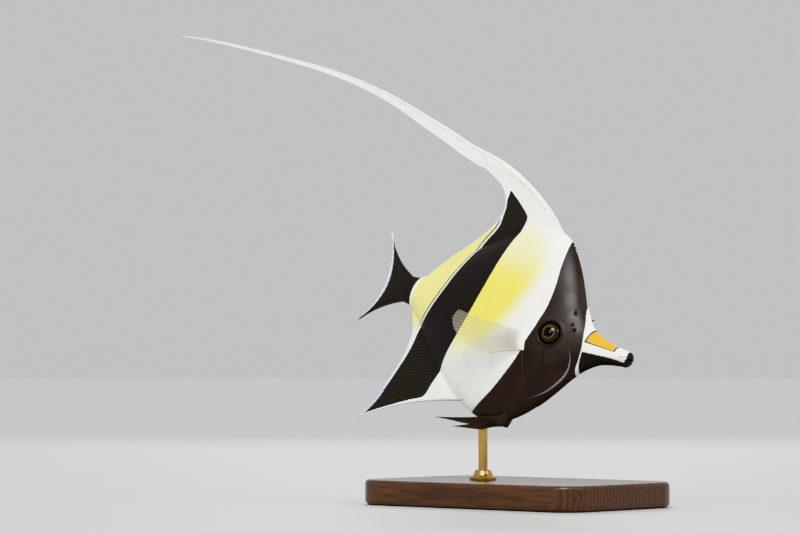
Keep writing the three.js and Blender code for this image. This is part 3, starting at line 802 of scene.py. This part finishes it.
# the long third spine and its streamer; edges are (x, top z, bottom z, half thickness)
streamer = {
    "rows": 230, "columns": 14, "rootX": 84, "tipX": -242,
    "edges": [
        (-242, 98.4, 97.7, 0.22), (-222, 100, 98.9, 0.3), (-195, 101, 99.4, 0.36), (-162, 101.4, 99.4, 0.42),
        (-130, 101.2, 98.5, 0.48), (-100, 98.9, 95.5, 0.56), (-68, 94.2, 89.6, 0.66),
        (-36, 87.4, 81.1, 0.78), (-20, 84, 77, 0.85), (-6, 80.4, 73, 0.9), (4, 78.3, 70.6, 0.9),
        (14, 76, 69, 0.9), (36, 70.6, 66, 0.9)],
    "spineWidth": 3.2, "spineHalf": 0.95, "spineOver": 0.5,
    "topJoins": (-8, 24), "lowJoins": (8, 38),  # where its edges run into the spine's
    "rootDips": (1.5, (66, 84)), "rootSlims": (0.7, (60, 82)),
    "ridges": (0.12, 3), "least": 0.05, "ripple": (0.5, 26, (0, 60)),
}


def leadingEdge():  # the first ray of the back fin, as rising (x, z) pairs
    out = np.linspace(0, 1, 60)
    x0, x1, z1 = finFans["dorsal"][0][1:]
    z0 = float(along(flesh["backLine"], x0)) - finShape["sunk"]
    bow = dorsalBow * 4 * out * (1 - out) / math.hypot(x1 - x0, z1 - z0)
    x = x0 + (x1 - x0) * out - (z1 - z0) * bow
    z = z0 + (z1 - z0) * out + (x1 - x0) * bow
    return np.stack([x, z], 1)[::-1]


def streamerHalf(x, down, lowShare):  # a thin blade that thickens into a round spine
    height, count = streamer["ridges"]
    ridges = height * (0.5 + 0.5 * np.cos(2 * math.pi * count * down))
    slimmer = 0.55 * ramp(down, 0.5, 1) + 0.3 * lowShare * ramp(down, 0.3, 0.9)
    blade = (0.34 + swell(down, 0.6, 0.12, 0.1) + ridges) * (1 - slimmer)
    blade = along(streamer["edges"], x, 3) * blade * (0.45 + 0.55 * ramp(down, -0.02, 0.09))
    bead = streamer["spineHalf"] * np.sqrt(np.clip(1 - (2 * down - 1) ** 2, 0.01, 1))
    share, where = streamer["rootSlims"]
    return blade * (1 - lowShare) + bead * (1 - share * ramp(x, *where)) * lowShare


def makeStreamer():
    ribbon, share, down = addSheet("back_streamer", streamer["rows"], streamer["columns"])
    x = streamer["rootX"] + (streamer["tipX"] - streamer["rootX"]) * share
    lead = leadingEdge()
    dip, dips = streamer["rootDips"]
    leadZ = np.interp(x, lead[:, 0], lead[:, 1]) + streamer["spineOver"] - dip * ramp(x, *dips)
    topShare, lowShare = ramp(x, *streamer["topJoins"]), ramp(x, *streamer["lowJoins"])
    top = along(streamer["edges"], x, 1) * (1 - topShare) + leadZ * topShare
    bottom = along(streamer["edges"], x, 2) * (1 - lowShare) + (leadZ - streamer["spineWidth"]) * lowShare
    swing, length, starts = streamer["ripple"]
    y = sway(x) + swing * np.sin(x / length) * ramp(-x, *starts)
    writePoints(ribbon, toWorld(np.stack([x, y, top + (bottom - top) * down], 1)))
    giveWall(ribbon, streamerHalf(x, down, lowShare), streamer["least"])
    return ribbon


# two spines against the front of the long one, as (root x, length, lean)
shortSpines = {
    "first": (86, 5, 0.95), "second": (84.5, 9, 0.98),
    "sunk": 1.3, "below": 1.5, "rootRadius": 1.15, "tipRadius": 0.12,
}


def addShortSpines(fin):  # joined to the back fin
    spines = []
    for name in ("first", "second"):
        rootX, length, lean = shortSpines[name]
        rootZ = float(along(flesh["backLine"], rootX)) - shortSpines["sunk"]
        spine = addPiece(
            "short_spine_" + name, bpy.ops.mesh.primitive_cone_add, vertices=20,
            radius1=shortSpines["rootRadius"], radius2=shortSpines["tipRadius"],
            depth=length + shortSpines["below"])
        subdivideAll(2)
        points = readPoints(spine)
        points[:, 2] += (length - shortSpines["below"]) / 2
        writePoints(spine, toWorld(turned(points, "Y", -lean) + (rootX, 0, rootZ)))
        keepNumber(spine, "rayShow", np.zeros(len(points)))
        sealAndSmooth(spine, 50)
        spines.append(spine)
    selectOnly(fin)
    for spine in spines:
        spine.select_set(True)
    bpy.ops.object.join()


def paintClearFin():
    shader = Shader("clear_side_fin")
    out, ray, joints = finTexture(shader, finRecipes["pectoral"]["rays"])
    root = shader.step(out, 0.36, 0.14)
    colour = shader.mix(ray, fishColours["membrane"], fishColours["clearRay"])
    colour = shader.mix(root, colour, fishColours["white"])
    cover = shader.math("MAXIMUM", shader.math("MULTIPLY_ADD", ray, 0.26, 0.1), root)
    shader.bump(joints, paint["reliefDepth"], 0.5)
    shader.give({"Base Color": colour, "Alpha": cover, "Roughness": 0.3})
    shader.material.surface_render_method = "BLENDED"
    return shader.material


def paintPelvic():
    shader = Shader("painted_breast_fin")
    out, ray, joints = finTexture(shader, finRecipes["pelvic"]["rays"])
    grain = shader.noise(paint["grainSize"], 2)
    c = fishColours
    colour = shader.mix(shader.step(grain, 0.3, 0.8), c["breastBlack"], c["breastBrown"])
    colour = shader.mix(shader.times(ray, paint["breastRayShare"]), colour, c["breastRay"])
    shader.bump(joints, 0.00005, 0.6)
    shader.give({"Base Color": colour, "Roughness": 0.42})
    return shader.material


print("skin")
skinPiece = makeSkin()
markFish(skinPiece)
finishPiece(skinPiece, "skin_pale", paintSkin(), "head", "lower_jaw", "trunk", "tail_stalk")

print("fins")
# painted edges by their share of the way out
finEdges = {
    "dorsal": [(0.96, 0.98, "white")],
    "anal": [(0.95, 0.975, "edgeBlue")],
    "caudal": [(0.89, 0.93, "edgeBlue"), (0.94, 0.98, "white")],
}


def paintedFin(piece, fin, slot, node):
    markFish(piece)
    material = paintFin("painted_" + piece.name, finRecipes[fin]["rays"], *finEdges[fin])
    finishPiece(piece, slot, material, node)


backFin = makeFin("back_fin", finRecipes["dorsal"])
addShortSpines(backFin)
paintedFin(backFin, "dorsal", "fin_pale", "dorsal_fin")
ribbon = makeStreamer()
markFish(ribbon)
streamerPaint = paintFin("painted_streamer", 1, jointCount=paint["streamerJoints"])
finishPiece(ribbon, "fin_pale", streamerPaint, "dorsal_streamer")
paintedFin(makeFin("belly_fin", finRecipes["anal"]), "anal", "fin_dark", "anal_fin")
paintedFin(makeFin("tail_fin", finRecipes["caudal"]), "caudal", "fin_dark", "caudal_fin")
clearFin, pelvicPaint = paintClearFin(), paintPelvic()
for side, letter in sides:
    sideFin = makeFin("side_fin_" + letter, finRecipes["pectoral"], pairedPlace("pectoral", side))
    finishPiece(sideFin, "fin_clear", clearFin, "pectoral_fin_" + letter)
    breastFin = makeFin("breast_fin_" + letter, finRecipes["pelvic"], pairedPlace("pelvic", side))
    finishPiece(breastFin, "fin_dark", pelvicPaint, "pelvic_fin_" + letter)

print("eyes and horns")
# the iris is measured in pupil radii
eyeShape = {
    "sunk": 1.2, "proud": 0.15, "depth": 3.2, "radius": 5.1, "lensRadius": 2.9, "lensHeight": 0.25,
    "pupil": 2.7, "pupilEdge": (1.0, 0.95), "irisRim": 1.9, "streaks": 46,
    "ringInner": (0.96, 1.02), "ringOuter": (1.12, 1.04),
}


def eyeFrame(side):
    ex, ez = flesh["eye"]
    radius = 5
    lean = math.atan(float(flankAt(ex + radius, ez) - flankAt(ex - radius, ez)) / (2 * radius))
    centre = (ex, side * (float(flankAt(ex, ez)) + eyeShape["proud"] - eyeShape["sunk"]), ez)
    return toWorld(np.array([centre], float))[0], turn @ Matrix.Rotation(side * lean, 3, "Z")


def paintEye(side, letter):
    centre, spin = eyeFrame(side)
    shader = Shader("glass_eye_" + letter)
    # the mapping turns the pattern so that it looks straight out along the eye's own axis
    back = spin.transposed()
    mapping = shader.add("Mapping")
    mapping.inputs["Rotation"].default_value = back.to_euler("XYZ")
    mapping.inputs["Location"].default_value = -(back @ Vector(centre))
    shader.join(shader.place(), mapping.inputs["Vector"])
    ahead, _, up = shader.split(mapping.outputs[0])
    away = shader.math("SQRT", shader.plus(shader.times(ahead, ahead), shader.times(up, up)))
    streak = shader.wave("SINE", shader.times(shader.math("ARCTAN2", up, ahead), eyeShape["streaks"]))
    pupil = eyeShape["pupil"] / 1000

    def edge(low, high):
        return shader.step(away, pupil * low, pupil * high)

    c = fishColours
    iris = shader.mix(edge(1, eyeShape["irisRim"]), c["iris"], c["irisRim"])
    iris = shader.mix(shader.times(streak, 0.16), iris, c["irisStreak"])
    ring = shader.times(edge(*eyeShape["ringInner"]), edge(*eyeShape["ringOuter"]))
    colour = shader.mix(shader.times(ring, 0.6), iris, c["irisGold"])
    colour = shader.mix(edge(*eyeShape["pupilEdge"]), colour, c["pupil"])
    shader.give({"Base Color": colour, "Roughness": 0.04})
    return shader.material


def makeEye(side, letter):
    centre, spin = eyeFrame(side)
    eye = addPiece(
        "glass_eye_" + letter, bpy.ops.mesh.primitive_uv_sphere_add,
        segments=64, ring_count=40, radius=1)
    ball = readPoints(eye)
    ball = np.stack([ball[:, 0], -ball[:, 2], ball[:, 1]], 1)  # poles face out
    ball *= (eyeShape["radius"], eyeShape["depth"], eyeShape["radius"])
    lens = np.exp(-((np.hypot(ball[:, 0], ball[:, 2]) / eyeShape["lensRadius"]) ** 4))
    ball[:, 1] += np.sign(ball[:, 1]) * eyeShape["lensHeight"] * lens
    writePoints(eye, ball @ np.array(spin).T / 1000 + centre)
    sealAndSmooth(eye)
    return eye


hornShape = {
    "at": (105.5, 12), "length": 6.2, "inside": 2, "sunk": 0.3, "radius": 1.5,
    "flare": 0.5, "waist": 0.7, "curl": 0.5, "rise": 0.62, "forward": 0.3,
}


def makeHorn(side, letter):
    horn = addPiece(
        "brow_horn_" + letter, bpy.ops.mesh.primitive_cone_add,
        vertices=28, radius1=1, radius2=0, depth=1, end_fill_type="TRIFAN")
    subdivideAll(5)
    cone = readPoints(horn)
    height = cone[:, 2] + 0.5
    width = 1 + hornShape["flare"] * (1 - height) ** 5 - hornShape["waist"] * height * (1 - height)
    width *= hornShape["radius"]
    x = cone[:, 0] * width + hornShape["curl"] * height**2
    y = height * hornShape["length"] - hornShape["inside"]
    points = np.stack([x, side * y, cone[:, 1] * width], 1)
    # up along the cheek's own slope, and a little forward
    points = turned(points, "X", side * hornShape["rise"])
    points = turned(points, "Z", -side * hornShape["forward"])
    x, z = hornShape["at"]
    points += (x, side * (float(flankAt(x, z)) - hornShape["sunk"]), z)
    writePoints(horn, toWorld(points))
    sealAndSmooth(horn, 50)
    return horn


def paintHorn():
    shader = Shader("painted_horn")
    grain = shader.noise(paint["hornSize"], 3)
    shader.bump(grain, 0.00005, 0.5)
    colour = shader.mix(grain, fishColours["hornBlack"], fishColours["hornBrown"])
    shader.give({"Base Color": colour, "Roughness": 0.4})
    return shader.material


hornPaint = paintHorn()
for side, letter in sides:
    finishPiece(makeEye(side, letter), "eye", paintEye(side, letter), "eye_" + letter)
    finishPiece(makeHorn(side, letter), "skin_dark", hornPaint, "horn_" + letter)

print("stand")
# millimetres; the collar is turned from (radius, height) pairs
standShape = {
    "length": 136, "width": 84, "thick": 12, "corner": 14, "cornerSteps": 14, "bevel": 2, "bevelSteps": 5,
    "rodRadius": 2.2,
    "collar": [(2.5, 0), (6.4, 0), (6.5, 0.3), (6.5, 1.2), (6.2, 1.5), (5.4, 1.75), (4.9, 2.2), (4.3, 3.2),
               (3.9, 4.2), (3.6, 4.8), (3.2, 5), (2.5, 5)],
}
standColours = {
    "woodDark": (0.052, 0.022, 0.011), "woodLight": (0.12, 0.052, 0.024), "woodPore": (0.02, 0.009, 0.005),
    "woodGlow": (0.15, 0.07, 0.035), "brass": (0.68, 0.47, 0.17), "tarnish": (0.5, 0.32, 0.11),
}


def paintWood():
    shader = Shader("stained_wood")
    lengthwise = shader.stretched(9, 120, 120)
    bend = shader.noise(1.1, 2, lengthwise)
    rings = shader.add("TexWave", wave_type="BANDS", bands_direction="Y")
    shader.join(lengthwise, rings.inputs["Vector"])
    for name, value in (("Scale", 1.1), ("Distortion", 5), ("Detail", 3), ("Detail Scale", 1.6)):
        rings.inputs[name].default_value = value
    pores = shader.noise(7, 4, lengthwise)
    closed = shader.step(pores, 0.35, 0.6)
    c = standColours
    colour = shader.mix(rings.outputs["Fac"], c["woodDark"], c["woodLight"])
    colour = shader.mix(closed, shader.mix(0.5, colour, c["woodPore"]), colour)
    colour = shader.mix(shader.times(bend, 0.35), colour, c["woodGlow"])
    shader.bump(closed, 0.00008, 0.5)
    roughness = shader.step(pores, 0.3, 0.7, 0.38, 0.28)
    shader.give({"Base Color": colour, "Roughness": roughness, "Coat Weight": 0.35, "Coat Roughness": 0.15})
    return shader.material


def paintBrass():
    shader = Shader("brushed_brass")
    brush = shader.noise(300, 3, shader.stretched(1, 1, 30))
    tarnish = shader.step(shader.noise(90, 4), 0.35, 0.75)
    colour = shader.mix(tarnish, standColours["brass"], standColours["tarnish"])
    shader.bump(brush, 0.00002, 0.4)
    shader.give({"Base Color": colour, "Metallic": 1.0, "Roughness": shader.step(brush, 0.3, 0.7, 0.2, 0.34)})
    return shader.material


def pick(block, kind, test):  # selects the edges or faces that pass the test
    bpy.ops.mesh.select_mode(type=kind)
    bpy.ops.mesh.select_all(action="DESELECT")
    edit = bmesh.from_edit_mesh(block.data)
    for item in edit.edges if kind == "EDGE" else edit.faces:
        item.select = test(item)
    edit.select_flush_mode()
    bmesh.update_edit_mesh(block.data)


def makeBase():
    length, width, thick = (standShape[name] / 1000 for name in ("length", "width", "thick"))
    block = addPiece("wood_base", bpy.ops.mesh.primitive_cube_add, size=1, location=(0, 0, thick / 2))
    block.scale = (length, width, thick)
    settle(block)
    bpy.ops.object.mode_set(mode="EDIT")
    # the four upright edges, and then the rims of the top and the underside
    pick(block, "EDGE", lambda edge: abs(edge.verts[0].co.z - edge.verts[1].co.z) > thick / 2)
    bpy.ops.mesh.bevel(offset=standShape["corner"] / 1000, segments=standShape["cornerSteps"], profile=0.5)
    pick(block, "FACE", lambda face: abs(face.normal.z) > 0.9)
    bpy.ops.mesh.region_to_loop()
    bpy.ops.mesh.bevel(offset=standShape["bevel"] / 1000, segments=standShape["bevelSteps"], profile=0.5)
    bpy.ops.object.mode_set(mode="OBJECT")
    smoothShade(block, 35)
    return block


rodLow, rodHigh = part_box("stand_rod")
collarLow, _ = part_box("stand_collar")
rodX, rodY = (rodLow.x + rodHigh.x) / 2, (rodLow.y + rodHigh.y) / 2


def makeRod():
    rod = addPiece(
        "brass_rod", bpy.ops.mesh.primitive_cylinder_add, vertices=48, radius=standShape["rodRadius"] / 1000,
        depth=rodHigh.z - rodLow.z, location=(rodX, rodY, (rodLow.z + rodHigh.z) / 2))
    settle(rod)
    smoothShade(rod, 40)
    return rod


def makeCollar():
    profile = standShape["collar"]
    collar = addPiece("brass_collar", bpy.ops.mesh.primitive_circle_add, vertices=len(profile), radius=0.001)
    low = collarLow.z
    for vertex, (radius, height) in zip(collar.data.vertices, profile):
        vertex.co = (rodX + radius / 1000, rodY, low + height / 1000)
    bpy.ops.object.mode_set(mode="EDIT")
    bpy.ops.mesh.select_all(action="SELECT")
    bpy.ops.mesh.spin(steps=64, angle=2 * math.pi, center=(rodX, rodY, low), axis=(0, 0, 1))
    bpy.ops.object.mode_set(mode="OBJECT")
    sealAndSmooth(collar, 40)
    return collar


brass = paintBrass()
finishPiece(makeBase(), "stand_wood", paintWood(), "stand_base")
finishPiece(makeRod(), "stand_brass", brass, "stand_rod")
finishPiece(makeCollar(), "stand_brass", brass, "stand_collar")

print("room and lights")
room = {
    "size": 60, "below": 0.0003, "floor": (0.55, 0.55, 0.545), "floorVaries": 1.04,
    "sky": (0.985, 0.99, 1.0), "skyPower": 0.58,
}
# suns by power, tilt and heading in degrees; panels by power, place and size in metres
suns = {"even_light": (1.65, 36, 34), "side_light": (0.45, 55, 100)}
sunWidth = 26
panels = {"key_light": (2.2, (0.25, -1.25, 0.85), 0.5), "back_light": (2, (-0.8, 0.9, 0.7), 0.6)}
panelAim = (0, 0, 0.11)


def makeRoom():
    floor = addPiece(
        "floor", bpy.ops.mesh.primitive_plane_add,
        size=room["size"], location=(0, 0, -room["below"]))
    settle(floor)
    shader = Shader("pale_floor")
    paler = tuple(value * room["floorVaries"] for value in room["floor"])
    shader.give({"Base Color": shader.mix(shader.noise(3, 3), room["floor"], paler), "Roughness": 0.6})
    floor.data.materials.append(shader.material)
    world = bpy.data.worlds.new("soft_sky")
    bpy.context.scene.world = world
    world.use_nodes = True
    sky = world.node_tree.nodes["Background"]
    sky.inputs["Color"].default_value = (*room["sky"], 1)
    sky.inputs["Strength"].default_value = room["skyPower"]


def addSun(name, power, tilt, heading):
    bpy.ops.object.light_add(type="SUN", rotation=(math.radians(tilt), 0, math.radians(heading)))
    sun = bpy.context.object
    sun.name = name
    sun.data.energy = power
    sun.data.angle = math.radians(sunWidth)


def addPanel(name, power, place, size):
    bpy.ops.object.light_add(type="AREA", location=place)
    panel = bpy.context.object
    panel.name = name
    panel.data.energy = power
    panel.data.size = size
    panel.rotation_euler = (Vector(panelAim) - Vector(place)).to_track_quat("-Z", "Y").to_euler()


makeRoom()
for name, values in suns.items():
    addSun(name, *values)
for name, values in panels.items():
    addPanel(name, *values)
# true colours for a painted model
bpy.context.scene.view_settings.view_transform = "Khronos PBR Neutral"
